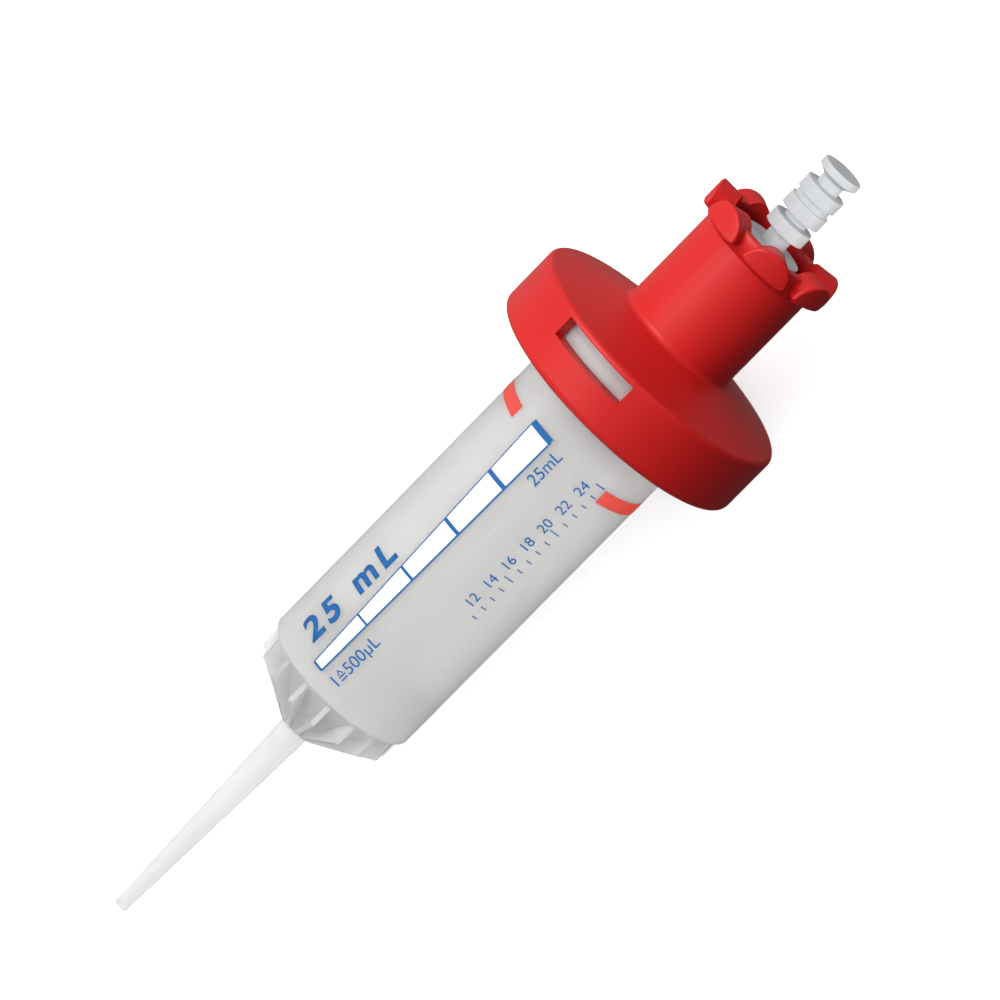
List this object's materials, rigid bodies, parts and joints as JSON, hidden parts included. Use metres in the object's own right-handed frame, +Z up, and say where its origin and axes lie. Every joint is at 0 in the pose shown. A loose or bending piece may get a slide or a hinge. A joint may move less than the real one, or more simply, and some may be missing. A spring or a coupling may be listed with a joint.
{
  "type": "repeating pipette tip",
  "caption": "Large dispensing syringe tip for a repeating pipette: clear barrel with a long nozzle, a sliding piston with a coupling head, and a red adapter that clips over its flange.",
  "frame": {"origin": "centre of the bounding box on the table, below the tip as it lies", "axes": "+Z up; the axis of revolution lies in the XZ plane with the nozzle towards +X and the coupling head towards -X, rising to the head, as the tip rests on the barrel's foot and its skirt; the scale faces up"},
  "size_m": [0.1626, 0.0458, 0.0466],
  "materials": {
    "clear_polypropylene": "milky translucent moulded polypropylene, smooth",
    "white_polyethylene": "natural white moulded polyethylene, satin",
    "red_plastic": "opaque red moulding, satin"
  },
  "bodies": {
    "barrel": {"barrel": "clear_polypropylene", "adapter": "red_plastic"},
    "piston": {"piston": "white_polyethylene"}
  },
  "joints": [
    {"name": "piston_slide", "type": "slide", "parent": "barrel", "child": "piston", "axis": [-0.9889, 0, 0.1485], "range_m": [0, 0.05093]}
  ]
}
